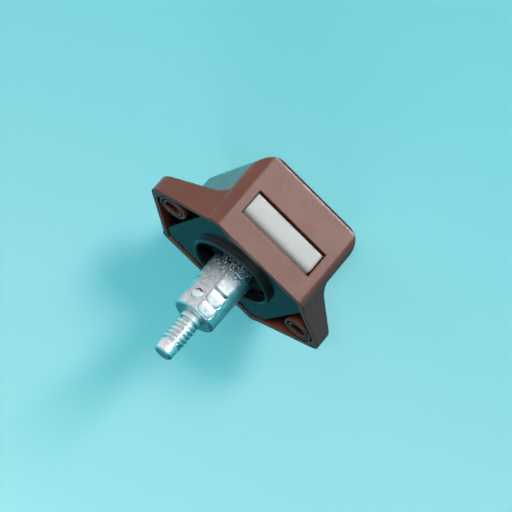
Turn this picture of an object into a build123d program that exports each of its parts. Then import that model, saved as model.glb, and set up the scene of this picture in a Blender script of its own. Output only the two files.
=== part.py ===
from build123d import *

import os
from math import cos, radians, sin

os.makedirs("parts", exist_ok=True)

# A push-button catch for a locker or cupboard door, in millimetres.
# The origin lies on the spindle's axis, in the plane that touches the door.
# +Z points through the door to the button, and the bolt comes out towards -Y.

# Housing outline, seen along the spindle
block_half_width = 14.2
block_front = 14.7
block_back = 15.6
front_corner_radius = 2.6
back_corner_radius = 1.8
ear_setback = 0.25
ear_apex_x = 25.47
ear_apex_y = -1.59
ear_apex_radius = 3.0
ear_front_x = 12.1
ear_front_radius = 2.85
ear_back_x = 13.03
ear_back_radius = 1.55

# Housing heights, from the door plane to the cover
block_height = 20.15
crown_radius = 5.5
cover_edge_radius = 1.1
ear_apex_height = 3.71
ear_slope = 0.3
ear_blend_radius = 3.2
ear_blend_inset = 0.15
ear_edge_radius = 0.7

# Housing walls
block_wall = 1.4
cover_wall = 1.5
rim_wall = 1.1
ear_roof = 1.3
pocket_end = 22.3

# Screw bosses in the ears
screw_x = 18.7
screw_y = -1.15
screw_hole_radius = 1.9
boss_radius = 3.4
boss_recess = 0.1
boss_groove_inner = 2.35
boss_groove_outer = 2.85
boss_groove_depth = 0.4
screw_seat_radius = 2.95
screw_seat_height = 4.5

# Base plate with its collar
plate_recess = 0.3
plate_thickness = 1.2
plate_half_length = 14.5
plate_clearance = 0.12
collar_radius = 10.0
collar_wall = 0.97
collar_height = 1.0
collar_edge = 0.3
barb_x = 9.2
barb_width = 1.6
barb_reach = 0.4
barb_gap = 0.05

# Travel of the spindle and of the bolt
spindle_travel = 7.5
bolt_travel = 6.0

# Bolt's nose
nose_half_width = 9.45
nose_top = 5.95
nose_height = 5.2
nose_depth = 6.4
nose_recess = 0.25
nose_round = 1.6
nose_edge = 0.3
slot_side_gap = 0.25
slot_end_gap = 0.5

# Carriage behind the bolt's nose
tenon_length = 3.0
tenon_inset = 0.4
bridge_top = 8.2
cheek_inner = 6.0
cheek_thickness = 2.4
cheek_top = 1.9
cheek_bottom = 14.4
cheek_front = 7.0
cheek_back = 8.7
cheek_corner_radius = 1.2

# Drive pins between plunger and bolt
drive_pin_radius = 1.2
drive_pin_depth = 4.6
drive_pin_inner = 3.4
drive_pin_setback = 0.1
drive_pin_clearance = 0.05

# Plunger
plunger_top = 1.8
plunger_bottom = 9.0
plunger_half_width = 5.6
plunger_half_depth = 5.4
wing_half_width = 3.2
wing_thickness = 1.2
wing_reach = 10.0
tongue_back = 9.8
tongue_bottom = 10.2
spigot_radius = 3.8
spigot_height = 5.5
spring_bore_radius = 3.2
spring_bore_height = 4.0

# Heart cam on the plunger's tongue
cam_depth = 1.3
cam_half_width = 2.6
cam_top = 2.4
heart_half_width = 1.1
heart_top = 3.7
heart_shoulder = 6.4
heart_tip = 8.6
heart_notch_drop = 0.13
heart_notch_gap = 0.07

# Wire follower of the heart cam
wire_radius = 0.4
wire_sides = 8
wire_bend_radius = 0.8
follower_pivot_depth = 16.8
follower_arm = 6.42
follower_angle = 15.0
follower_gap = 0.8
follower_leg = 2.4
follower_tip_gap = 0.3
pivot_clearance = 0.1

# Leaf spring behind the follower
leaf_thickness = 0.25
leaf_half_width = 1.5
leaf_top = 3.2
leaf_bend = 8.0
leaf_foot = 12.8
leaf_gap = 0.3

# Return spring
spring_radius = 2.6
spring_wire_radius = 0.35
spring_wire_sides = 6
spring_turns = 5
spring_post_gap = 0.2
spring_post_height = 2.0

# Guides inside the housing
rail_gap = 0.15
rail_wall = 1.2
rail_height = 1.8
rail_front = 12.2
rail_inner_step = 0.2
stop_gap = 0.3
stop_thickness = 1.4
stop_top = 10.0
guide_gap = 0.2
guide_width = 2.0
guide_front = 6.0
guide_back = 8.8
guide_top = 3.6
follower_boss_half_width = 1.8
follower_boss_rise = 1.6

# Barrel of the spindle
barrel_base_radius = 5.2
barrel_end_radius = 4.95
barrel_end = 13.6
barrel_edge = 0.35
spigot_fit = 0.05
spigot_seat_gap = 0.3
stud_bore_bottom = 8.3
flat_bottom = 6.1
flat_top = 10.4
flat_depth = 0.35

# Raised pads on the barrel: start, end and length of the end bevel
pad_half_width = 1.8
pad_rise = 0.4
pad_spans = [(2.1, 7.15, 0.4), (7.5, 10.3, 1.4), (10.65, 13.1, 1.4)]

# Cross pin and threaded stud
cross_pin_radius = 1.15
cross_pin_height = 10.1
cross_pin_angle = -45.0
cross_pin_head = 0.35
cross_pin_fit = 0.01
cross_pin_edge = 0.3
cross_pin_end = 2.9
stud_shank_radius = 1.98
stud_shank_fit = 0.02
stud_seat_gap = 0.2
stud_flange_radius = 2.5
stud_flange_end = 14.9
stud_neck_radius = 1.85
stud_thread_start = 15.6
stud_thread_radius = 2.4
stud_thread_end = 20.9
stud_pilot_radius = 2.2
stud_end = 23.9
stud_chamfer = 0.35

# Places that follow from the sizes above
floor_z = cover_wall - block_height
plate_under = -(plate_recess + plate_thickness)
rim_front = block_front - ear_setback - rim_wall
rim_back = block_back - ear_setback - rim_wall
nose_front = nose_recess - block_front
slot_half_width = nose_half_width + slot_side_gap
cheek_outer = cheek_inner + cheek_thickness
rail_inner = cheek_inner + rail_inner_step
rail_outer = cheek_outer + rail_gap + rail_wall
stop_front = cheek_back + stop_gap
guide_inner = wing_half_width + guide_gap
cavity_back = block_back - block_wall
follower_y = tongue_back + follower_gap
follower_tip_x = follower_arm * sin(radians(follower_angle))
follower_tip_z = follower_arm * cos(radians(follower_angle)) - follower_pivot_depth
pivot_z = -follower_pivot_depth
cam_floor = tongue_back - cam_depth
screw_places = [(-screw_x, screw_y), (screw_x, screw_y)]
drive_pin_places = [(0, -drive_pin_depth), (bolt_travel, -drive_pin_depth - spindle_travel)]
cross_pin_turn = radians(cross_pin_angle)
cross_pin_plane = Plane(
    origin=(0, 0, cross_pin_height),
    x_dir=(0, 0, 1),
    z_dir=(cos(cross_pin_turn), sin(cross_pin_turn), 0),
)
reach_all = 2 * (block_half_width + ear_apex_x)


def block_outline(inset):
    """Rounded outline of the block, drawn in by an even inset."""
    with BuildSketch(Plane.XY) as outline:
        with Locations((0, (block_back - block_front) / 2)):
            Rectangle(2 * (block_half_width - inset), block_front + block_back - 2 * inset)
        fillet(outline.vertices().group_by(Axis.Y)[0], front_corner_radius - inset)
        fillet(outline.vertices().group_by(Axis.Y)[-1], back_corner_radius - inset)
    return outline.sketch


def ear_outline(inset):
    """Six-sided outline of block and ears, drawn in by an even inset."""
    with BuildSketch(Plane.XY) as outline:
        with BuildLine():
            Polyline(
                (-ear_front_x, ear_setback - block_front),
                (ear_front_x, ear_setback - block_front),
                (ear_apex_x, ear_apex_y),
                (ear_back_x, block_back - ear_setback),
                (-ear_back_x, block_back - ear_setback),
                (-ear_apex_x, ear_apex_y),
                close=True,
            )
        make_face()
        fillet(outline.vertices().group_by(Axis.X)[0], ear_apex_radius)
        fillet(outline.vertices().sort_by_distance((ear_apex_x, ear_apex_y))[0], ear_apex_radius)
        fillet(outline.vertices().group_by(Axis.Y)[0], ear_front_radius)
        fillet(outline.vertices().group_by(Axis.Y)[-1], ear_back_radius)
        if inset > 0:
            offset(amount=-inset, mode=Mode.REPLACE)
    return outline.sketch


def ear_height(x):
    """Height of an ear's sloping top at a distance from the spindle."""
    return ear_apex_height + ear_slope * (ear_apex_x - x)


def barrel_radius(z):
    """Radius of the tapering barrel at a height."""
    share = (z + plunger_top) / (barrel_end + plunger_top)
    return barrel_base_radius + share * (barrel_end_radius - barrel_base_radius)


def upright_box(x_span, y_span, z_span, mode=Mode.ADD):
    """Box between two places along each axis."""
    with Locations((x_span[0], y_span[0], z_span[0])):
        Box(
            x_span[1] - x_span[0],
            y_span[1] - y_span[0],
            z_span[1] - z_span[0],
            align=Align.MIN,
            mode=mode,
        )


# The block's inside
with BuildPart() as cavity:
    extrude(block_outline(block_wall), amount=floor_z)
    with BuildSketch(Plane.XZ):
        RectangleRounded(
            2 * (block_half_width - block_wall),
            -2 * floor_z,
            crown_radius - block_wall,
        )
    extrude(amount=reach_all, both=True, mode=Mode.INTERSECT)

# The two ears, with tops that rise towards the block
with BuildPart() as ears:
    extrude(ear_outline(0), amount=-block_height)
    with BuildSketch(Plane.XZ) as ear_profile:
        blend_x = block_half_width - ear_blend_inset
        with BuildLine():
            Polyline(
                (0, 0),
                (ear_apex_x, 0),
                (ear_apex_x, -ear_apex_height),
                (blend_x, -ear_height(blend_x)),
                (blend_x, -ear_height(blend_x) - ear_blend_radius * 0.75),
                (0, -ear_height(blend_x) - ear_blend_radius * 0.75),
                close=True,
            )
        make_face()
        blend_corner = ear_profile.vertices().sort_by_distance((blend_x, -ear_height(blend_x)))[0]
        fillet(blend_corner, ear_blend_radius)
        mirror(about=Plane.YZ)
    extrude(amount=reach_all, both=True, mode=Mode.INTERSECT)
    ear_tops = ears.faces().filter_by(lambda face: face.normal_at().Z < -0.9)
    top_edges = ear_tops.edges().filter_by(lambda edge: abs(edge.center().X) > screw_x)
    fillet(top_edges, ear_edge_radius)

# One ear pocket, open towards the door, with its sloping roof
with BuildPart() as pocket:
    extrude(ear_outline(rim_wall), amount=-block_height)
    with BuildSketch(Plane.XZ):
        with BuildLine():
            Polyline(
                (block_half_width, 0),
                (pocket_end, 0),
                (pocket_end, ear_roof - ear_height(pocket_end)),
                (block_half_width, ear_roof - ear_height(block_half_width)),
                close=True,
            )
        make_face()
    extrude(amount=reach_all, both=True, mode=Mode.INTERSECT)
    with Locations((screw_x, screw_y, 0)):
        Cylinder(
            boss_radius,
            2 * block_height,
            mode=Mode.SUBTRACT,
        )

# Housing: one moulding
with BuildPart() as housing:
    extrude(block_outline(0), amount=-block_height)
    with BuildSketch(Plane.XZ):
        RectangleRounded(2 * block_half_width, 2 * block_height, crown_radius)
    extrude(amount=reach_all, both=True, mode=Mode.INTERSECT)
    with BuildSketch(Plane.YZ):
        with Locations(((block_back - block_front) / 2, 0)):
            RectangleRounded(block_front + block_back, 2 * block_height, cover_edge_radius)
    extrude(amount=reach_all, both=True, mode=Mode.INTERSECT)
    add(ears.part)
    add(cavity.part, mode=Mode.SUBTRACT)
    add(pocket.part, mode=Mode.SUBTRACT)
    add(mirror(pocket.part, about=Plane.YZ, mode=Mode.PRIVATE), mode=Mode.SUBTRACT)

    # Seat of the base plate inside the rim, with four snap barbs over it
    with BuildSketch(Plane.XY):
        add(ear_outline(rim_wall))
        Rectangle(2 * (plate_half_length + plate_clearance), reach_all, mode=Mode.INTERSECT)
    extrude(amount=plate_under, mode=Mode.SUBTRACT)
    barb_depth = plate_recess - barb_gap
    with Locations(*[(x, y, -barb_depth / 2) for x in (-barb_x, barb_x) for y in (-rim_front, rim_back)]):
        Box(barb_width, 2 * barb_reach, barb_depth)

    # Screw bosses: recessed ends with a ring groove, screw holes and seats for the heads
    with BuildSketch(Plane.XY):
        with Locations(*screw_places):
            Circle(boss_radius)
    extrude(amount=-boss_recess, mode=Mode.SUBTRACT)
    with BuildSketch(Plane.XY):
        with Locations(*screw_places):
            Circle(boss_groove_outer)
            Circle(boss_groove_inner, mode=Mode.SUBTRACT)
    extrude(amount=-boss_recess - boss_groove_depth, mode=Mode.SUBTRACT)
    with BuildSketch(Plane.XY):
        with Locations(*screw_places):
            Circle(screw_hole_radius)
    extrude(amount=-block_height, mode=Mode.SUBTRACT)
    with BuildSketch(Plane.XY.offset(-screw_seat_height)):
        with Locations(*screw_places):
            Circle(screw_seat_radius)
    extrude(amount=-block_height, mode=Mode.SUBTRACT)

    # Slot for the bolt in the front wall
    upright_box(
        (-slot_half_width, slot_half_width),
        (-block_front - block_wall, -block_front + 1.5 * block_wall),
        (-nose_top - nose_height - slot_end_gap, -nose_top + slot_end_gap),
        mode=Mode.SUBTRACT,
    )

    # Post for the return spring
    with Locations((0, 0, floor_z)):
        Cylinder(
            spring_radius - spring_wire_radius - spring_post_gap,
            spring_post_height,
            align=(Align.CENTER, Align.CENTER, Align.MIN),
        )

    # Rails and stops for the bolt's cheeks, and guides for the plunger's tongue
    for side in (-1, 1):
        upright_box(
            sorted((side * rail_inner, side * rail_outer)),
            (-rail_front, stop_front),
            (floor_z, -cheek_bottom - rail_gap),
        )
        upright_box(
            sorted((side * (cheek_outer + rail_gap), side * rail_outer)),
            (-rail_front, stop_front),
            (floor_z, rail_height - cheek_bottom),
        )
        upright_box(
            sorted((side * rail_inner, side * rail_outer)),
            (stop_front, stop_front + stop_thickness),
            (floor_z, -stop_top),
        )
        upright_box(
            sorted((side * guide_inner, side * (guide_inner + guide_width))),
            (guide_front, guide_back),
            (floor_z, -guide_top),
        )

    # Boss that carries the follower's pivot
    upright_box(
        (-follower_boss_half_width, follower_boss_half_width),
        (follower_y + wire_bend_radius, cavity_back),
        (floor_z, pivot_z + follower_boss_rise),
    )
    with Locations(Location((0, cavity_back, pivot_z), (90, 0, 0))):
        Cylinder(
            wire_radius + pivot_clearance,
            cavity_back - follower_y,
            align=(Align.CENTER, Align.CENTER, Align.MIN),
            mode=Mode.SUBTRACT,
        )

housing.part.label = "housing"
export_step(housing.part, "parts/housing.step")

# Base plate with the collar that sits in the door's hole
with BuildPart() as base_plate:
    with BuildSketch(Plane.XY.offset(-plate_recess)):
        add(ear_outline(rim_wall + plate_clearance))
        Rectangle(2 * plate_half_length, reach_all, mode=Mode.INTERSECT)
    extrude(amount=-plate_thickness)
    with BuildSketch(Plane.XY.offset(plate_under)):
        Circle(collar_radius)
    extrude(amount=collar_height - plate_under)
    with BuildSketch(Plane.XY.offset(plate_under)):
        Circle(collar_radius - collar_wall)
    extrude(amount=collar_height - plate_under, mode=Mode.SUBTRACT)
    chamfer(base_plate.faces().sort_by(Axis.Z)[-1].edges(), collar_edge)

base_plate.part.label = "base_plate"
export_step(base_plate.part, "parts/base_plate.step")

# Arms of the carriage that reach into the back of the nose
with BuildPart() as tenons:
    for side in (-1, 1):
        upright_box(
            sorted((side * (cheek_inner + tenon_inset), side * (cheek_outer - tenon_inset))),
            (nose_front + nose_depth - tenon_length, -cheek_front),
            (tenon_inset - nose_top - nose_height, -nose_top - tenon_inset),
        )

# Bolt: the broad nose that shows in the slot
with BuildPart() as latch_bolt:
    upright_box(
        (-nose_half_width, nose_half_width),
        (nose_front, nose_front + nose_depth),
        (-nose_top - nose_height, -nose_top),
    )
    front_edges = latch_bolt.faces().sort_by(Axis.Y)[0].edges()
    fillet(front_edges.sort_by(Axis.Z)[-1], nose_round)
    fillet(latch_bolt.faces().sort_by(Axis.Y)[0].edges().sort_by(Axis.Z)[:3], nose_edge)
    add(tenons.part, mode=Mode.SUBTRACT)

latch_bolt.part.label = "latch_bolt"
export_step(latch_bolt.part, "parts/latch_bolt.step")

# Carriage: two bridged cheeks with slanted slots that the drive pins push and pull
with BuildPart() as bolt_carriage:
    upright_box(
        (-cheek_inner, cheek_inner),
        (nose_front + nose_depth, -cheek_front),
        (-nose_top - nose_height, -bridge_top),
    )
    for side in (-1, 1):
        cheek_span = sorted((side * cheek_inner, side * cheek_outer))
        upright_box(
            cheek_span,
            (nose_front + nose_depth, -cheek_front),
            (-nose_top - nose_height, -nose_top),
        )
        with BuildSketch(Plane.YZ.offset(cheek_span[0])):
            with Locations(((cheek_back - cheek_front) / 2, -(cheek_top + cheek_bottom) / 2)):
                RectangleRounded(cheek_back + cheek_front, cheek_bottom - cheek_top, cheek_corner_radius)
        extrude(amount=cheek_thickness)
    add(tenons.part)
    with BuildSketch(Plane.YZ.offset(-cheek_outer)):
        with Locations(*drive_pin_places):
            Circle(drive_pin_radius + drive_pin_clearance)
        make_hull(mode=Mode.REPLACE)
    extrude(amount=2 * cheek_outer, mode=Mode.SUBTRACT)

bolt_carriage.part.label = "bolt_carriage"
export_step(bolt_carriage.part, "parts/bolt_carriage.step")

# Plunger: block, spigot for the barrel, wing and tongue held under the plate
with BuildPart() as plunger:
    upright_box(
        (-plunger_half_width, plunger_half_width),
        (-plunger_half_depth, plunger_half_depth),
        (-plunger_bottom, -plunger_top),
    )
    upright_box(
        (-wing_half_width, wing_half_width),
        (-wing_reach, 0),
        (-plunger_top - wing_thickness, -plunger_top),
    )
    upright_box(
        (-wing_half_width, wing_half_width),
        (0, tongue_back),
        (-tongue_bottom, -plunger_top),
    )
    with BuildSketch(Plane.XY.offset(-plunger_top)):
        Circle(spigot_radius)
    extrude(amount=plunger_top + spigot_height)
    with BuildSketch(Plane.XY.offset(-tongue_bottom)):
        Circle(spring_bore_radius)
    extrude(amount=tongue_bottom + spring_bore_height, mode=Mode.SUBTRACT)

    # Heart cam: a sunk track around a heart-shaped island with a notch on top
    with BuildSketch(Plane.XZ.offset(-tongue_back)):
        with BuildLine():
            Polyline(
                (-cam_half_width, -tongue_bottom),
                (cam_half_width, -tongue_bottom),
                (cam_half_width, -cam_top),
                (-cam_half_width, -cam_top),
                close=True,
            )
        make_face()
        with BuildLine():
            Polyline(
                (0, -heart_tip),
                (heart_half_width, -heart_shoulder),
                (heart_half_width, -heart_top),
                (-heart_half_width, -heart_top),
                (-heart_half_width, -heart_shoulder),
                close=True,
            )
        make_face(mode=Mode.SUBTRACT)
        with Locations((0, -heart_top - heart_notch_drop)):
            Circle(wire_radius + heart_notch_gap)
    extrude(amount=cam_depth, mode=Mode.SUBTRACT)

    # Holes for the drive pins
    with BuildSketch(Plane.YZ.offset(-plunger_half_width)):
        with Locations(drive_pin_places[0]):
            Circle(drive_pin_radius)
    extrude(amount=2 * plunger_half_width, mode=Mode.SUBTRACT)

plunger.part.label = "plunger"
export_step(plunger.part, "parts/plunger.step")

# The two pins that carry the bolt
with BuildPart() as drive_pins:
    for side in (-1, 1):
        with BuildSketch(Plane.YZ.offset(side * drive_pin_inner)):
            with Locations(drive_pin_places[0]):
                Circle(drive_pin_radius)
        extrude(amount=side * (cheek_outer - drive_pin_setback - drive_pin_inner))

drive_pins.part.label = "drive_pins"
export_step(drive_pins.part, "parts/drive_pins.step")

# Return spring under the spindle, its fine wire drawn six-sided
with BuildPart() as return_spring:
    spring_start = floor_z + spring_wire_radius
    spring_length = spring_bore_height - floor_z - 2 * spring_wire_radius
    with BuildLine() as spring_path:
        Helix(
            pitch=spring_length / spring_turns,
            height=spring_length,
            radius=spring_radius,
            center=(0, 0, spring_start),
        )
    with BuildSketch(Plane(origin=spring_path.line @ 0, z_dir=spring_path.line % 0)):
        RegularPolygon(spring_wire_radius, spring_wire_sides)
    sweep(path=spring_path.line, is_frenet=True)

return_spring.part.label = "return_spring"
export_step(return_spring.part, "parts/return_spring.step")

# Bent wire that follows the heart cam
with BuildPart() as cam_follower:
    with BuildLine() as follower_path:
        FilletPolyline(
            (0, follower_y + follower_leg, pivot_z),
            (0, follower_y, pivot_z),
            (follower_tip_x, follower_y, follower_tip_z),
            (follower_tip_x, cam_floor + follower_tip_gap, follower_tip_z),
            radius=wire_bend_radius,
        )
    with BuildSketch(Plane(origin=follower_path.line @ 0, z_dir=follower_path.line % 0)):
        RegularPolygon(wire_radius, wire_sides)
    sweep(path=follower_path.line)

cam_follower.part.label = "cam_follower"
export_step(cam_follower.part, "parts/cam_follower.step")

# Leaf spring that keeps the follower in the cam's track
with BuildPart() as follower_spring:
    leaf_toe = follower_y + wire_radius + leaf_gap
    with BuildSketch(Plane.YZ.offset(-leaf_half_width)):
        with BuildLine():
            Polyline(
                (cavity_back, -leaf_top),
                (cavity_back, -leaf_bend),
                (leaf_toe + leaf_thickness, -leaf_foot),
                (leaf_toe, -leaf_foot),
                (cavity_back - leaf_thickness, -leaf_bend),
                (cavity_back - leaf_thickness, -leaf_top),
                close=True,
            )
        make_face()
    extrude(amount=2 * leaf_half_width)

follower_spring.part.label = "follower_spring"
export_step(follower_spring.part, "parts/follower_spring.step")

# Length of the cross pin from its inner end to the top of its head
cross_pin_reach = cross_pin_end + barrel_radius(cross_pin_height) + cross_pin_head

# Barrel of the spindle, with raised pads, a flat, and a hole for the cross pin
with BuildPart() as barrel:
    with BuildSketch(Plane.XZ) as barrel_profile:
        with BuildLine():
            Polyline(
                (0, -plunger_top),
                (barrel_base_radius, -plunger_top),
                (barrel_end_radius, barrel_end),
                (0, barrel_end),
                close=True,
            )
        make_face()
        barrel_corner = barrel_profile.vertices().sort_by_distance((barrel_end_radius, barrel_end))[0]
        chamfer(barrel_corner, barrel_edge)
    revolve(axis=Axis.Z)
    for pad_start, pad_end, pad_bevel in pad_spans:
        pad_face = -barrel_radius(pad_start) - pad_rise
        pad_foot = pad_half_width - barrel_radius(pad_end)
        with BuildSketch(Plane.YZ.offset(-pad_half_width)):
            with BuildLine():
                Polyline(
                    (pad_foot, pad_start),
                    (pad_face, pad_start),
                    (pad_face, pad_end - pad_bevel),
                    (pad_face + pad_rise, pad_end),
                    (pad_foot, pad_end),
                    close=True,
                )
            make_face()
        extrude(amount=2 * pad_half_width)
    upright_box(
        (barrel_radius(flat_top) - flat_depth, barrel_base_radius),
        (-barrel_base_radius, barrel_base_radius),
        (flat_bottom, flat_top),
        mode=Mode.SUBTRACT,
    )
    with BuildSketch(Plane.XY.offset(-plunger_top)):
        Circle(spigot_radius + spigot_fit)
    extrude(amount=plunger_top + spigot_height + spigot_seat_gap, mode=Mode.SUBTRACT)
    with BuildSketch(Plane.XY.offset(stud_bore_bottom)):
        Circle(stud_shank_radius + stud_shank_fit)
    extrude(amount=barrel_end - stud_bore_bottom, mode=Mode.SUBTRACT)
    with BuildSketch(cross_pin_plane.offset(-cross_pin_end)):
        Circle(cross_pin_radius + cross_pin_fit)
    extrude(amount=cross_pin_reach, mode=Mode.SUBTRACT)

barrel.part.label = "barrel"
export_step(barrel.part, "parts/barrel.step")

# Threaded stud for the button, with a smooth pilot end
with BuildPart() as threaded_stud:
    with BuildSketch(Plane.XZ):
        with BuildLine():
            Polyline(
                (0, stud_bore_bottom + stud_seat_gap),
                (stud_shank_radius, stud_bore_bottom + stud_seat_gap),
                (stud_shank_radius, barrel_end),
                (stud_flange_radius, barrel_end),
                (stud_flange_radius, stud_flange_end),
                (stud_neck_radius, stud_flange_end),
                (stud_neck_radius, stud_thread_start),
                (stud_thread_radius, stud_thread_start),
                (stud_thread_radius, stud_thread_end),
                (stud_pilot_radius, stud_thread_end),
                (stud_pilot_radius, stud_end - stud_chamfer),
                (stud_pilot_radius - stud_chamfer, stud_end),
                (0, stud_end),
                close=True,
            )
        make_face()
    revolve(axis=Axis.Z)
    with BuildSketch(cross_pin_plane.offset(-cross_pin_end)):
        Circle(cross_pin_radius + cross_pin_fit)
    extrude(amount=cross_pin_reach, mode=Mode.SUBTRACT)

threaded_stud.part.label = "threaded_stud"
export_step(threaded_stud.part, "parts/threaded_stud.step")

# Cross pin that holds the stud in the barrel
with BuildPart() as cross_pin:
    with BuildSketch(cross_pin_plane.offset(-cross_pin_end)):
        Circle(cross_pin_radius)
    extrude(amount=cross_pin_reach)
    head_face = cross_pin.faces().sort_by(Axis(origin=(0, 0, 0), direction=cross_pin_plane.z_dir))[-1]
    chamfer(head_face.edges(), cross_pin_edge)

cross_pin.part.label = "cross_pin"
export_step(cross_pin.part, "parts/cross_pin.step")
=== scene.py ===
import math
import bpy
import bmesh
from mathutils import Matrix, Vector, noise

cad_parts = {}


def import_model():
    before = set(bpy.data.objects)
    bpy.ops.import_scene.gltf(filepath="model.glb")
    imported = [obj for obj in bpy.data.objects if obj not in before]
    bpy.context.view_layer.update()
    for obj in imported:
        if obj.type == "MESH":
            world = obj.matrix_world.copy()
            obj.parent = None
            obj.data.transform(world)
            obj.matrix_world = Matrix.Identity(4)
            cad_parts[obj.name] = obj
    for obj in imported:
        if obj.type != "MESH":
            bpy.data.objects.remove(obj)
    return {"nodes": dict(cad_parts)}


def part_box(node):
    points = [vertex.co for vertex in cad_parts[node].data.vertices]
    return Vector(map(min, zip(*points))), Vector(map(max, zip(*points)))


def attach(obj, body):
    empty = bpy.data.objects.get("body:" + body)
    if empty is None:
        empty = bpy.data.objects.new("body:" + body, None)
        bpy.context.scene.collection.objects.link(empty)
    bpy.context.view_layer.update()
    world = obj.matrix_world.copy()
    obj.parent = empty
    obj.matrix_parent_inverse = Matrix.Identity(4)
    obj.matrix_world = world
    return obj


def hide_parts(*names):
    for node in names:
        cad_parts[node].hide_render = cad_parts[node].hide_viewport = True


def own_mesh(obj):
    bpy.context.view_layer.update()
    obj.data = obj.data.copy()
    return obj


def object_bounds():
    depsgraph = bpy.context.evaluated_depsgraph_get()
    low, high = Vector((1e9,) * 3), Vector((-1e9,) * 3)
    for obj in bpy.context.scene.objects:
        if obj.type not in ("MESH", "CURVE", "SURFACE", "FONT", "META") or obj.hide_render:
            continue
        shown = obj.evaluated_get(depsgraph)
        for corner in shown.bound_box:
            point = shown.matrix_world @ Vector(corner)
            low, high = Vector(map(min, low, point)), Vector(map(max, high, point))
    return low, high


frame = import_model()
cad_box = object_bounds()
nodes = frame["nodes"]
MM = 0.001
FULL_TURN = 2 * math.pi


# Materials

def srgb(r, g, b):
    """Linear colour of a screen colour given from 0 to 255."""
    def linear(c):
        c = c / 255
        return c / 12.92 if c <= 0.04045 else ((c + 0.055) / 1.055) ** 2.4
    return (linear(r), linear(g), linear(b), 1.0)


def set_stops(ramp, stops):
    """Gives a colour ramp node its (position, colour) stops."""
    while len(ramp.color_ramp.elements) < len(stops):
        ramp.color_ramp.elements.new(0.5)
    for element, (position, colour) in zip(ramp.color_ramp.elements, stops):
        element.position = position
        element.color = colour


class Surface:
    """A principled material with its own small node tree."""

    def __init__(self, name, metallic=0.0, roughness=0.5, **sockets):
        self.mat = bpy.data.materials.new(name)
        self.mat.use_nodes = True
        self.tree = self.mat.node_tree
        self.bsdf = self.tree.nodes["Principled BSDF"]
        self.bsdf.inputs["Metallic"].default_value = metallic
        self.bsdf.inputs["Roughness"].default_value = roughness
        for key, value in sockets.items():
            self.bsdf.inputs[key.replace("_", " ")].default_value = value
        self.coords = self.node("ShaderNodeTexCoord").outputs["Object"]
        self.normal = None

    def node(self, kind, **values):
        """New node, with values for its properties or its sockets."""
        node = self.tree.nodes.new(kind)
        for key, value in values.items():
            if hasattr(node, key):
                setattr(node, key, value)
            else:
                node.inputs[key.replace("_", " ")].default_value = value
        return node

    def link(self, a, b):
        self.tree.links.new(a, b)

    def noise(self, scale, detail, roughness=0.5):
        """Noise in object space; scale is in features per metre."""
        n = self.node("ShaderNodeTexNoise", Scale=scale, Detail=detail, Roughness=roughness)
        self.link(self.coords, n.inputs["Vector"])
        return n.outputs["Fac"]

    def axes(self):
        """Sockets X, Y and Z of the place on the surface."""
        split = self.node("ShaderNodeSeparateXYZ")
        self.link(self.coords, split.inputs[0])
        return split.outputs

    def ramp(self, fac, *stops):
        """Colour ramp through (position, colour) stops."""
        r = self.node("ShaderNodeValToRGB")
        set_stops(r, stops)
        self.link(fac, r.inputs["Fac"])
        return r.outputs["Color"]

    def span(self, fac, low, high, from_low=0.3, from_high=0.7):
        """Goes from low to high as fac goes from from_low to from_high."""
        m = self.node("ShaderNodeMapRange")
        m.inputs["From Min"].default_value = from_low
        m.inputs["From Max"].default_value = from_high
        m.inputs["To Min"].default_value = low
        m.inputs["To Max"].default_value = high
        self.link(fac, m.inputs["Value"])
        return m.outputs["Result"]

    def mix(self, fac, a, b):
        """Colour between a and b, each a socket or a plain colour."""
        m = self.node("ShaderNodeMix", data_type="RGBA")
        for value, socket in ((fac, m.inputs[0]), (a, m.inputs[6]), (b, m.inputs[7])):
            if isinstance(value, bpy.types.NodeSocket):
                self.link(value, socket)
            else:
                socket.default_value = value
        return m.outputs[2]

    def soften(self, radius, samples=6):
        """Rounds the look of every edge by a small radius."""
        b = self.node("ShaderNodeBevel", samples=samples)
        b.inputs["Radius"].default_value = radius
        self.normal = b.outputs["Normal"]

    def bump(self, height, distance, strength):
        """Relief on top of what is there; strength is a number or a socket."""
        b = self.node("ShaderNodeBump", Distance=distance)
        if isinstance(strength, float):
            b.inputs["Strength"].default_value = strength
        else:
            self.link(strength, b.inputs["Strength"])
        self.link(height, b.inputs["Height"])
        if self.normal is not None:
            self.link(self.normal, b.inputs["Normal"])
        self.normal = b.outputs["Normal"]

    def finish(self, colour, roughness=None):
        """Links colour, relief and, where given, roughness to the shader."""
        self.link(colour, self.bsdf.inputs["Base Color"])
        self.link(self.normal, self.bsdf.inputs["Normal"])
        if roughness is not None:
            self.link(roughness, self.bsdf.inputs["Roughness"])
        return self.mat


BLACK, WHITE = (0, 0, 0, 1), (1, 1, 1, 1)
# reach of the brown moulding's painted shade in its hollows
PAINTED_SHADE_REACH = 5 * MM
# heights and depths of the bolt's painted edge shade
EDGE_SHADE_HEIGHTS = (-7.6 * MM, -6.0 * MM)
EDGE_SHADE_DEPTHS = (-14.2 * MM, -12.8 * MM)
SAND_HEIGHTS = (1.5 * MM, 7 * MM)
# heights over which the barrel's foot takes its painted dark-blue shade and reflection
PAINTED_FOOT_SHADE_HEIGHTS = (1.2 * MM, 4.6 * MM)
# radii over which a thread's roots take their painted shade
PAINTED_ROOT_SHADE_RADII = (1.93 * MM, 2.25 * MM)


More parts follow.
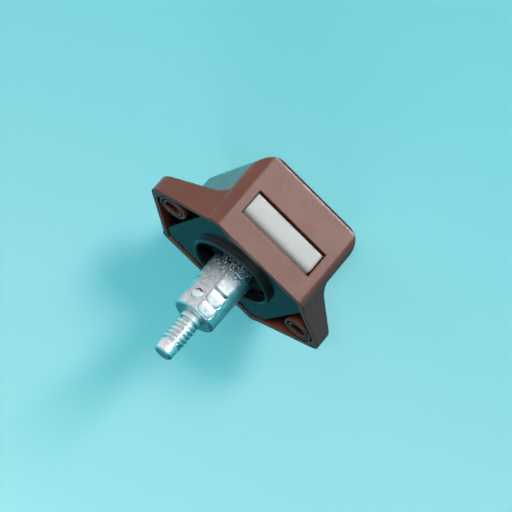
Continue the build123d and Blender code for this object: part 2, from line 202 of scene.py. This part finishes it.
def brown_plastic():
    """Brown moulding, a little patchy, with painted shade darkening its hollows."""
    s = Surface("brown_plastic", Specular_IOR_Level=0.55)
    s.soften(0.35 * MM)
    s.bump(s.noise(1600, 2), 0.006 * MM, 0.15)
    colour = s.ramp(s.noise(90, 3), (0.3, srgb(106, 57, 43)), (0.7, srgb(115, 65, 50)))
    # painted shade: ambient occlusion darkens the hollows towards a near-black brown
    openness_for_painted_shade = s.node("ShaderNodeAmbientOcclusion", samples=8, only_local=True)
    openness_for_painted_shade.inputs["Distance"].default_value = PAINTED_SHADE_REACH
    painted_hollow_shade = s.span(openness_for_painted_shade.outputs["AO"], 1.0, 0.0, 0.25, 0.72)
    colour = s.mix(painted_hollow_shade, colour, srgb(17, 11, 11))
    return s.finish(colour, s.span(s.noise(210, 4), 0.22, 0.31))


def black_gloss():
    """Black moulding with a streaky gloss."""
    s = Surface("black_gloss", Specular_IOR_Level=0.5)
    s.soften(0.2 * MM)
    s.bump(s.noise(700, 3), 0.01 * MM, 0.25)
    colour = s.ramp(s.noise(300, 4), (0.3, srgb(18, 20, 21)), (0.75, srgb(31, 34, 36)))
    return s.finish(colour, s.span(s.noise(420, 6, 0.65), 0.12, 0.3))


def black_matt():
    """Black moulding of the parts inside."""
    s = Surface("black_matt")
    s.soften(0.2 * MM)
    s.bump(s.noise(3800, 2), 0.01 * MM, 0.4)
    colour = s.ramp(s.noise(300, 3), (0.3, srgb(14, 14, 15)), (0.7, srgb(22, 22, 23)))
    return s.finish(colour, s.span(s.noise(500, 3), 0.45, 0.6))


def pale_coat():
    """Pale coating of the bolt, with painted shade darkening the edge that slides in the housing.
    """
    s = Surface("pale_coat", Specular_IOR_Level=0.5)
    s.soften(0.9 * MM, 10)
    s.bump(s.noise(2600, 3, 0.6), 0.01 * MM, 0.35)
    colour = s.ramp(s.noise(180, 5, 0.6), (0.3, srgb(206, 205, 202)), (0.7, srgb(218, 216, 213)))
    # painted shade: the nose grows darker towards its edge on the base plate's side, near the
    # front
    place = s.axes()
    painted_edge_shade_ramp = s.ramp(
        s.span(place["Z"], 0.0, 1.0, *EDGE_SHADE_HEIGHTS),
        (0.0, BLACK),
        (0.55, (0.22, 0.22, 0.22, 1)),
        (1.0, WHITE),
    )
    painted_edge_shade = s.node("ShaderNodeMath", operation="MULTIPLY")
    s.link(painted_edge_shade_ramp, painted_edge_shade.inputs[0])
    s.link(s.span(place["Y"], 1.0, 0.0, *EDGE_SHADE_DEPTHS), painted_edge_shade.inputs[1])
    colour = s.mix(painted_edge_shade.outputs[0], colour, srgb(66, 68, 67))
    return s.finish(colour, s.span(s.noise(500, 4), 0.3, 0.42))


def cast_zinc():
    """Cast zinc: smooth on the pads, sandy towards the base plate, with painted dark-blue shade
    and reflection there.
    """
    s = Surface("cast_zinc", metallic=1.0)
    s.soften(0.12 * MM)
    height = s.axes()["Z"]
    s.bump(s.noise(1150, 4, 0.6), 0.16 * MM, 0.6)
    s.bump(s.noise(3600, 2, 0.6), 0.1 * MM, s.span(height, 1.0, 0.25, *SAND_HEIGHTS))
    patches = s.ramp(
        s.noise(1000, 6, 0.85), (0.34, srgb(176, 178, 182)), (0.62, srgb(229, 228, 229))
    )
    # towards the base plate: sandy specks, partly real grain, over painted dark-blue shade and
    # reflection of the plate and housing
    sandy_specks_and_painted_shade = s.ramp(s.noise(2600, 2, 0.8), (0.5, srgb(64, 88, 112)), (0.6, srgb(244, 248, 252)))
    foot = s.span(height, 1.0, 0.0, *PAINTED_FOOT_SHADE_HEIGHTS)
    return s.finish(s.mix(foot, patches, sandy_specks_and_painted_shade), s.span(s.noise(900, 4), 0.28, 0.46))


def plated_steel(name, low, high, roughness, grain=(2500, 0.006 * MM), painted_root_shade=None):
    """Steel between two shades; grain is its relief's scale and height, painted_root_shade the
    colour of painted shade in a thread's roots.
    """
    s = Surface(name, metallic=1.0)
    s.soften(0.08 * MM)
    s.bump(s.noise(grain[0], 3, 0.6), grain[1], 0.7)
    colour = s.ramp(s.noise(900, 5, 0.65), (0.3, low), (0.7, high))
    # painted shade: the thread's roots, nearer the axis, are darker
    if painted_root_shade is not None:
        across = s.node("ShaderNodeVectorMath", operation="MULTIPLY")
        across.inputs[1].default_value = (1, 1, 0)  # leaves the height along the axis out
        s.link(s.coords, across.inputs[0])
        radius = s.node("ShaderNodeVectorMath", operation="LENGTH")
        s.link(across.outputs["Vector"], radius.inputs[0])
        colour = s.mix(s.span(radius.outputs["Value"], 1.0, 0.0, *PAINTED_ROOT_SHADE_RADII), colour, painted_root_shade)
    return s.finish(colour, s.span(s.noise(1100, 4), *roughness))


def dress(name, material):
    """Gives a CAD node its material."""
    mesh = nodes[name].data
    mesh.materials.clear()
    mesh.materials.append(material)


steel = plated_steel("bright_steel", srgb(180, 184, 188), srgb(226, 228, 230), (0.2, 0.34))
spring_wire = plated_steel("spring_wire", srgb(120, 122, 125), srgb(168, 170, 172), (0.28, 0.42))
stud_steel = plated_steel(
    "stud_steel", srgb(204, 206, 208), srgb(254, 253, 252), (0.24, 0.42),
    grain=(1300, 0.13 * MM), painted_root_shade=srgb(206, 208, 212),
)
pin_steel = plated_steel("pin_steel", srgb(204, 212, 210), srgb(238, 242, 240), (0.3, 0.42))
dress("housing", brown_plastic())
dress("base_plate", black_gloss())
matt = black_matt()
dress("plunger", matt)
dress("bolt_carriage", matt)
dress("latch_bolt", pale_coat())
for name in ("cam_follower", "follower_spring"):
    dress(name, spring_wire)
dress("drive_pins", steel)


# Pieces of the spindle, turned and cast, each built ring by ring

AXIS_RADIUS = 0.5  # where the closing face of a hollow piece starts


def eased(x):
    """Soft step from 0 to 1."""
    x = min(1.0, max(0.0, x))
    return x * x * (3 - 2 * x)


def ring(radius_at, z, angles):
    """Points in millimetres round the axis at one height."""
    points = []
    for a in angles:
        r = radius_at(a, z)
        points.append(Vector((r * math.cos(a), r * math.sin(a), z)))
    return points


def plain(radius):
    """A radius that is the same all round."""
    return lambda a, z: radius


def skin(name, rings, material):
    """Closed mesh over a row of rings, with a face over each end."""
    bm = bmesh.new()
    rows = [[bm.verts.new(p * MM) for p in points] for points in rings]
    count = len(rows[0])
    for low, high in zip(rows, rows[1:]):
        for i in range(count):
            j = (i + 1) % count
            bm.faces.new((low[i], low[j], high[j], high[i]))
    bm.faces.new(list(reversed(rows[0])))
    bm.faces.new(rows[-1])
    bmesh.ops.recalc_face_normals(bm, faces=bm.faces)
    for face in bm.faces:
        face.smooth = True
    mesh = bpy.data.meshes.new(name)
    bm.to_mesh(mesh)
    bm.free()
    mesh.set_sharp_from_angle(angle=math.radians(35))
    mesh.materials.append(material)
    obj = bpy.data.objects.new(name, mesh)
    bpy.context.scene.collection.objects.link(obj)
    return obj


def steps(low, high, step):
    """Even steps from low up to just below high, each about as long as step."""
    count = max(1, round((high - low) / step))
    return [low + (high - low) * i / count for i in range(count)]


# Cast barrel, with rounded pads and an uneven skin

BARREL_FOOT, BARREL_END = -1.8, 13.6
BARREL_FOOT_RADIUS, BARREL_END_RADIUS = 5.2, 4.95
BARREL_EDGE = 0.35
SPIGOT_BORE, SPIGOT_BORE_TOP = 3.85, 5.8
STUD_BORE, STUD_BORE_FOOT = 2.0, 8.3
PAD_HALF_WIDTH, PAD_RISE, PAD_WALL, PAD_FOOT_CORNER = 1.8, 0.4, 0.16, 0.25
# Foot, end, bevel and corner of each pad
PADS = ((2.1, 7.15, 0.4, 0.3), (7.5, 10.3, 1.4, 0.9), (10.65, 13.1, 1.4, 0.9))
PAD_LINE = (0.1, 0.16, 0.08)  # depth, distance and width of the mould's line
PIN_LINE = (0.09, 0.12, 0.09)
FLAT_LOW, FLAT_HIGH, FLAT_DEPTH, FLAT_WALL = 6.1, 10.4, 0.35, 0.12
FACING = 0.8  # least cosine to a side at which its pads or flat are worked out
SKIN_WAVES = ((0.022, 1.3), (0.008, 4.1))  # height, and waves per millimetre
# Finer faces where pads, pin and flat are: angles, and the height that they start at
FINE_FROM, FINE_TO = math.radians(-118), math.radians(-24)
FINE_FOOT = 1.9
PIN_ANGLE = math.radians(-45)
PIN_HEIGHT, PIN_RADIUS, PIN_PROUD, PIN_FOOT = 10.1, 1.15, 0.35, -2.9
PIN_AROUND, PIN_BEVEL = 64, 0.1
DOME_RISE, DOME_RINGS, DOME_SHARE = 0.32, 12, 0.96


def barrel_radius(z):
    """Radius of the barrel's plain taper."""
    share = (z - BARREL_FOOT) / (BARREL_END - BARREL_FOOT)
    return BARREL_FOOT_RADIUS + share * (BARREL_END_RADIUS - BARREL_FOOT_RADIUS)


def pad_distance(across, z, foot, end, corner):
    """Distance outside a pad's rounded outline, less than nothing inside it."""
    round_off = corner if z > (foot + end) / 2 else PAD_FOOT_CORNER
    dx = abs(across) - (PAD_HALF_WIDTH - round_off)
    dz = abs(z - (foot + end) / 2) - ((end - foot) / 2 - round_off)
    return math.hypot(max(dx, 0), max(dz, 0)) + min(max(dx, dz), 0) - round_off


def pad_height(across, z, foot, end, bevel, corner):
    """Height of a pad over the barrel, with its outer corners rounded."""
    outside = pad_distance(across, z, foot, end, corner)
    crest = PAD_RISE * (1 - 0.85 * max(0.0, (z - end + bevel) / bevel))
    return crest * eased(0.5 - outside / PAD_WALL)


def mould_line(outside, depth, distance, width):
    """Depth of the fine line that the mould leaves at a distance outside an outline."""
    return depth * math.exp(-((outside - distance) / width) ** 2)


def cast_radius(a, z):
    """Radius of the barrel with its pads, flat, mould lines and cast skin."""
    base = barrel_radius(z)
    r = base - max(0.0, z - BARREL_END + BARREL_EDGE)
    front = math.cos(a + math.pi / 2)
    if front > FACING:
        across = base * math.sin(a + math.pi / 2)
        for foot, end, bevel, corner in PADS:
            h = pad_height(across, z, foot, end, bevel, corner)
            if h > 0:
                face = (barrel_radius(foot) + h) / front
                r = max(r, min(face, base + h * 1.6))
            r -= mould_line(pad_distance(across, z, foot, end, corner), *PAD_LINE)
    side = math.cos(a)
    if side > FACING:
        walls = eased((z - FLAT_LOW) / FLAT_WALL) * eased((FLAT_HIGH - z) / FLAT_WALL)
        depth = FLAT_DEPTH * walls
        r = min(r, (base - depth) / side) if depth > 0 else r
    from_pin = math.hypot(base * (a - PIN_ANGLE), z - PIN_HEIGHT) - PIN_RADIUS
    r -= mould_line(from_pin, *PIN_LINE)
    spot = Vector((r * math.cos(a), r * math.sin(a), z))
    return r + sum(height * noise.noise(spot * scale) for height, scale in SKIN_WAVES)


def barrel_piece():
    """From the spigot's bore round the foot, up the outside and down the stud's bore."""
    angles = steps(FINE_FROM, FINE_TO, 0.0105) + steps(FINE_TO, FINE_FROM + FULL_TURN, 0.034)
    angles = [a - FULL_TURN if a > math.pi else a for a in angles]
    heights = steps(BARREL_FOOT, FINE_FOOT, 0.2) + steps(FINE_FOOT, BARREL_END, 0.065)
    heights.append(BARREL_END)
    spigot_bore = (
        (AXIS_RADIUS, SPIGOT_BORE_TOP), (SPIGOT_BORE, SPIGOT_BORE_TOP), (SPIGOT_BORE, BARREL_FOOT)
    )
    stud_bore = (
        (STUD_BORE, BARREL_END), (STUD_BORE, STUD_BORE_FOOT), (AXIS_RADIUS, STUD_BORE_FOOT)
    )
    rings = [ring(plain(r), z, angles) for r, z in spigot_bore]
    rings += [ring(cast_radius, z, angles) for z in heights]
    rings += [ring(plain(r), z, angles) for r, z in stud_bore]
    return skin("cast_barrel", rings, cast_zinc())


barrel = barrel_piece()
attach(barrel, "spindle")
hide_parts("barrel")


# Cross pin with a domed head

def pin_piece():
    shoulder = barrel_radius(PIN_HEIGHT) + PIN_PROUD - DOME_RISE
    profile = [
        (PIN_RADIUS - PIN_BEVEL, PIN_FOOT),
        (PIN_RADIUS, PIN_FOOT + PIN_BEVEL),
        (PIN_RADIUS, shoulder),
    ]
    for i in range(1, DOME_RINGS + 1):
        lift = i / DOME_RINGS * math.pi / 2
        radius = PIN_RADIUS * (1 - DOME_SHARE * (1 - math.cos(lift)))
        profile.append((radius, shoulder + DOME_RISE * math.sin(lift)))
    turn = Matrix.Rotation(PIN_ANGLE, 4, "Z") @ Matrix.Rotation(math.pi / 2, 4, "Y")
    place = Matrix.Translation((0, 0, PIN_HEIGHT)) @ turn
    angles = steps(0, FULL_TURN, FULL_TURN / PIN_AROUND)
    rings = [[place @ p for p in ring(plain(r), z, angles)] for r, z in profile]
    return skin("pin", rings, pin_steel)


pin = pin_piece()
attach(pin, "spindle")
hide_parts("cross_pin")


# Threaded stud: one turned piece with a real helical thread

STUD_AROUND = 96
STUD_RISE = 0.05
STUD_FOOT, STUD_END = 8.5, 23.9
SHANK_RADIUS, NECK_RADIUS, LEAD_RADIUS = 1.98, 1.85, 2.2
FLANGE_RADIUS, FLANGE_END, FLANGE_BEVEL = 2.5, 14.9, 0.12
THREAD_FROM, THREAD_TO = 15.6, 20.9
THREAD_PITCH = 1.05
THREAD_CREST, THREAD_ROOT = 2.4, 1.94
THREAD_FADE = 0.5
LEAD_RISE = 0.35
TIP_FROM, TIP_BEVEL = 23.5, 0.35
DENT_DEPTH, DENT_WAVES = 0.03, 1.7


def ridge(phase):
    """Height of the thread's rounded ridge over one pitch, from 0 to 1."""
    rise = abs(phase - 0.5) * 2
    return eased(1.35 - 1.4 * rise)


def stud_radius(a, z):
    """Radius of shank, flange, neck, helical thread and plain lead-in, a little dented."""
    if z < BARREL_END:
        return SHANK_RADIUS
    if z < FLANGE_END:
        upper = max(0.0, 1 - (FLANGE_END - z) / FLANGE_BEVEL)
        lower = max(0.0, 1 - (z - BARREL_END) / FLANGE_BEVEL)
        return FLANGE_RADIUS - FLANGE_BEVEL * upper - FLANGE_BEVEL * lower
    if z < THREAD_FROM - 0.15:
        return NECK_RADIUS
    fade_in = eased((z - THREAD_FROM + 0.3) / THREAD_FADE)
    fade_out = eased((THREAD_TO + LEAD_RISE - z) / THREAD_FADE)
    base = THREAD_ROOT + (LEAD_RADIUS - THREAD_ROOT) * eased((z - THREAD_TO) / LEAD_RISE)
    phase = ((z - THREAD_FROM) / THREAD_PITCH - a / FULL_TURN) % 1.0
    thread = THREAD_ROOT + (THREAD_CREST - THREAD_ROOT) * ridge(phase) * (fade_in * fade_out)
    tip = eased((z - TIP_FROM) / (STUD_END - TIP_FROM))
    r = min(THREAD_CREST, max(base, thread)) - TIP_BEVEL * tip
    spot = Vector((r * math.cos(a), r * math.sin(a), z))
    return r - DENT_DEPTH * max(0.0, noise.noise(spot * DENT_WAVES))


def stud_piece():
    angles = steps(0, FULL_TURN, FULL_TURN / STUD_AROUND)
    heights = steps(STUD_FOOT, STUD_END, STUD_RISE) + [STUD_END]
    return skin("stud", [ring(stud_radius, z, angles) for z in heights], stud_steel)


stud = stud_piece()
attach(stud, "spindle")
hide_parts("threaded_stud")


# Return spring of round wire with closed ends, built at its rest length; the real spring shortens
# as the spindle is pressed

SPRING_RADIUS, WIRE_RADIUS, SPRING_TURNS = 2.6, 0.35, 5
SPRING_CLOSED, SPRING_CLOSED_RISE = 0.8, 0.5
SPRING_STEPS, WIRE_AROUND = 56, 12

spring_low, spring_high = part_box("return_spring")


def eased_ramp(x, length):
    """From 0 to 1 over a length, turning softly at both ends."""
    share = min(1.0, max(0.0, x / length))
    return 0.85 * share + 0.15 * eased(share)


def spring_height(turn, foot, length):
    """Height of the wire after a number of turns; the end coils lie nearly flat."""
    open_turns = SPRING_TURNS - 2 * SPRING_CLOSED
    middle = eased_ramp(turn - SPRING_CLOSED, open_turns) * (length - 2 * SPRING_CLOSED_RISE)
    low_coil = min(turn, SPRING_CLOSED) / SPRING_CLOSED
    high_coil = max(0.0, turn - SPRING_TURNS + SPRING_CLOSED) / SPRING_CLOSED
    return foot + middle + SPRING_CLOSED_RISE * (low_coil + high_coil)


def spring_piece():
    foot = spring_low.z / MM + WIRE_RADIUS
    length = (spring_high.z - spring_low.z) / MM - 2 * WIRE_RADIUS
    up = Vector((0, 0, 1))
    section = steps(0, FULL_TURN, FULL_TURN / WIRE_AROUND)
    rings = []
    for i in range(SPRING_TURNS * SPRING_STEPS + 1):
        turn = i / SPRING_STEPS
        out = Vector((math.cos(FULL_TURN * turn), math.sin(FULL_TURN * turn), 0))
        centre = out * SPRING_RADIUS + up * spring_height(turn, foot, length)
        rings.append([
            centre + WIRE_RADIUS * (math.cos(b) * out + math.sin(b) * up) for b in section
        ])
    return skin("coil_spring", rings, spring_wire)


spring = spring_piece()
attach(spring, "case")
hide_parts("return_spring")
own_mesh(spring)


# Floor, light and camera

FLOOR_HALF_SIZE = 6.0
FLOOR_GAP = 0.02 * MM  # keeps the floor off the cover's face
FLOOR_SLOPE = (-0.8, 0.6, 0)  # the way in which the floor's painted light falloff grows lighter
FLOOR_SPAN = (-110 * MM, 210 * MM)
FLOOR_BOUNCE = (0.09, 0.225, 0.245, 1)  # colour that the object gets light back from

# Directions of what metal and gloss reflect, from the object
OVERHEAD = (0.706, -0.479, -0.52)
WINDOW = (-0.2, -0.86, -0.46)
FRONT = (-0.2, -0.84, 0.5)
EDGE = (-0.205, -0.76, -0.615)
UNDER = (-0.25, 0.3, -0.92)
# Colours of the tent that they reflect, from below to overhead
TENT = (
    (0.0, (0.01, 0.10, 0.13)),
    (0.09, (0.015, 0.17, 0.21)),
    (0.15, (0.04, 0.36, 0.43)),
    (0.30, (0.05, 0.62, 0.72)),
    (0.43, (0.06, 0.95, 1.08)),
    (0.54, (0.36, 0.80, 0.88)),
    (0.70, (0.93, 1.02, 1.05)),
    (1.0, (0.99, 1.04, 1.07)),
)
# Shades of the plain light on everything, from below to overhead
SHADE = ((0.25, (0.07, 0.07, 0.07)), (0.9, (1.0, 0.98, 0.97)))
PLAIN_STRENGTH = 0.75
BACKDROP = (0.25, 0.70, 0.77, 1)

LENS, SENSOR = 175.78, 36.0
CAMERA_PLACE = (0.10639, -0.4883, 0.16214)
CAMERA_RIGHT = (-0.6996, -0.366, -0.6136)
CAMERA_BACK = (0.205, -0.9255, 0.3184)


def floor():
    """Turquoise floor, partly its own glow and partly lit, so that it keeps the shadow.

    Reflections look through it to the studio around.
    """
    s = Surface("floor_paint", roughness=0.8, Specular_IOR_Level=0.2)
    rays = s.node("ShaderNodeLightPath").outputs
    across = s.node("ShaderNodeVectorMath", operation="DOT_PRODUCT")
    across.inputs[1].default_value = FLOOR_SLOPE
    s.link(s.coords, across.inputs[0])
    painted_falloff = s.span(across.outputs["Value"], 0.0, 1.0, *FLOOR_SPAN)
    # painted light falloff: the floor's glow and colour grow lighter along FLOOR_SLOPE
    deep = s.ramp(
        painted_falloff,
        (0.03, (0.018, 0.16, 0.226, 1)),
        (0.29, (0.01, 0.23, 0.291, 1)),
        (0.68, (0.0, 0.292, 0.36, 1)),
        (1.0, (0.002, 0.318, 0.368, 1)),
    )
    veil = s.ramp(painted_falloff, (0.0, (0.14, 0.42, 0.42, 1)), (0.68, (0.28, 0.42, 0.42, 1)))
    s.bump(s.noise(900, 3), 0.04 * MM, 0.15)
    s.finish(s.mix(rays["Is Camera Ray"], FLOOR_BOUNCE, veil))
    glow = s.node("ShaderNodeEmission")
    s.link(deep, glow.inputs["Color"])
    s.link(rays["Is Camera Ray"], glow.inputs["Strength"])
    seen = s.node("ShaderNodeAddShader")
    s.link(s.bsdf.outputs["BSDF"], seen.inputs[0])
    s.link(glow.outputs["Emission"], seen.inputs[1])
    both = s.node("ShaderNodeMixShader")
    s.link(rays["Is Glossy Ray"], both.inputs[0])
    s.link(seen.outputs["Shader"], both.inputs[1])
    s.link(s.node("ShaderNodeBsdfTransparent").outputs["BSDF"], both.inputs[2])
    s.link(both.outputs["Shader"], s.tree.nodes["Material Output"].inputs["Surface"])
    bm = bmesh.new()
    bmesh.ops.create_grid(bm, x_segments=2, y_segments=2, size=FLOOR_HALF_SIZE)
    mesh = bpy.data.meshes.new("floor")
    bm.to_mesh(mesh)
    bm.free()
    obj = bpy.data.objects.new("floor", mesh)
    obj.location = (0, 0, cad_box[0][2] - FLOOR_GAP)
    bpy.context.scene.collection.objects.link(obj)
    mesh.materials.append(s.mat)
    return obj


def softbox(name, place, size, power, colour=(1, 1, 1), lit=()):
    """Square area light that faces the object and lights everything, or only what lit names."""
    light = bpy.data.lights.new(name, "AREA")
    light.shape = "SQUARE"
    light.size = size
    light.energy = power
    light.color = colour
    obj = bpy.data.objects.new(name, light)
    obj.location = place
    obj.rotation_euler = (-Vector(place)).to_track_quat("-Z", "Y").to_euler()
    obj.visible_glossy = False
    if lit:
        group = bpy.data.collections.new(name + "_lights")
        for other in lit:
            group.objects.link(other)
        obj.light_linking.receiver_collection = group
    bpy.context.scene.collection.objects.link(obj)


def world():
    """Turquoise tent with window, lamp and strip in reflections, plain soft light elsewhere.

    The camera sees a plain backdrop.
    """
    w = bpy.data.worlds.new("studio")
    w.use_nodes = True
    w.cycles.sampling_method = "NONE"
    tree = w.node_tree
    coords = tree.nodes.new("ShaderNodeTexCoord").outputs["Generated"]

    def span(direction, low, high, strength, smooth="LINEAR", start=0.0):
        """Goes from start to a strength as the cosine to a direction goes from low to high."""
        dot = tree.nodes.new("ShaderNodeVectorMath")
        dot.operation = "DOT_PRODUCT"
        dot.inputs[1].default_value = Vector(direction).normalized()
        tree.links.new(coords, dot.inputs[0])
        m = tree.nodes.new("ShaderNodeMapRange")
        m.interpolation_type = smooth
        m.inputs["From Min"].default_value = low
        m.inputs["From Max"].default_value = high
        m.inputs["To Min"].default_value = start
        m.inputs["To Max"].default_value = strength
        tree.links.new(dot.outputs["Value"], m.inputs["Value"])
        return m.outputs["Result"]

    def glow(strength, colour=None, stops=None):
        """Background of one colour, or of colours along the way up; strength may be a socket."""
        back = tree.nodes.new("ShaderNodeBackground")
        if isinstance(strength, float):
            back.inputs["Strength"].default_value = strength
        else:
            tree.links.new(strength, back.inputs["Strength"])
        if stops is None:
            back.inputs["Color"].default_value = colour + (1,)
            return back.outputs["Background"]
        ramp = tree.nodes.new("ShaderNodeValToRGB")
        set_stops(ramp, [(position, shade + (1,)) for position, shade in stops])
        tree.links.new(span(OVERHEAD, -1.0, 1.0, 1.0), ramp.inputs["Fac"])
        tree.links.new(ramp.outputs["Color"], back.inputs["Color"])
        return back.outputs["Background"]

    def both(a, b):
        """The light of two backgrounds together."""
        add = tree.nodes.new("ShaderNodeAddShader")
        tree.links.new(a, add.inputs[0])
        tree.links.new(b, add.inputs[1])
        return add.outputs["Shader"]

    tent = glow(span(UNDER, 0.6, 0.88, 0.1, "SMOOTHSTEP", 0.9), stops=TENT)
    window = glow(span(WINDOW, 0.962, 0.993, 4.4, "SMOOTHSTEP"), colour=(1.0, 0.97, 0.94))
    lamp = glow(span(FRONT, 0.88, 0.97, 1.2, "SMOOTHSTEP"), colour=(1.0, 0.99, 0.98))
    strip = glow(span(EDGE, 0.992, 0.998, 26.0, "SMOOTHSTEP"), colour=(1.0, 0.96, 0.92))
    plain_light = glow(PLAIN_STRENGTH, stops=SHADE)
    rays = tree.nodes.new("ShaderNodeLightPath").outputs
    choice = tree.nodes.new("ShaderNodeMixShader")
    tree.links.new(rays["Is Glossy Ray"], choice.inputs[0])
    tree.links.new(plain_light, choice.inputs[1])
    tree.links.new(both(both(tent, strip), both(window, lamp)), choice.inputs[2])
    behind = tree.nodes.new("ShaderNodeBackground")
    behind.inputs["Color"].default_value = BACKDROP
    shown = tree.nodes.new("ShaderNodeMixShader")
    tree.links.new(rays["Is Camera Ray"], shown.inputs[0])
    tree.links.new(choice.outputs["Shader"], shown.inputs[1])
    tree.links.new(behind.outputs["Background"], shown.inputs[2])
    tree.links.new(shown.outputs["Shader"], tree.nodes["World Output"].inputs["Surface"])
    bpy.context.scene.world = w


def camera():
    """The photo's camera, with the object's own frame upright."""
    data = bpy.data.cameras.new("camera")
    data.sensor_width = SENSOR
    data.lens = LENS
    data.clip_end = 20.0
    obj = bpy.data.objects.new("camera", data)
    right = Vector(CAMERA_RIGHT).normalized()
    back = Vector(CAMERA_BACK)
    back = (back - right * back.dot(right)).normalized()
    up = back.cross(right)
    turn = Matrix((right, up, back)).transposed().to_4x4()
    obj.matrix_world = Matrix.Translation(CAMERA_PLACE) @ turn
    bpy.context.scene.collection.objects.link(obj)
    bpy.context.scene.camera = obj


ground = floor()
softbox("key", (0.4, -0.9, 0.05), 0.4, 8.6, (1.0, 0.965, 0.95))
softbox("fill", (-0.45, 0.85, 0.05), 0.4, 4.5)
softbox("long_shadow", (0.69, -3.91, 0.52), 0.25, 850.0, (1.0, 0.83, 0.83), lit=[ground])
softbox("short_shadow", (1.16, -3.57, 1.37), 0.3, 69.0, (0.2, 1.0, 1.0), lit=[ground])
world()
camera()
bpy.context.scene.view_settings.view_transform = "Standard"
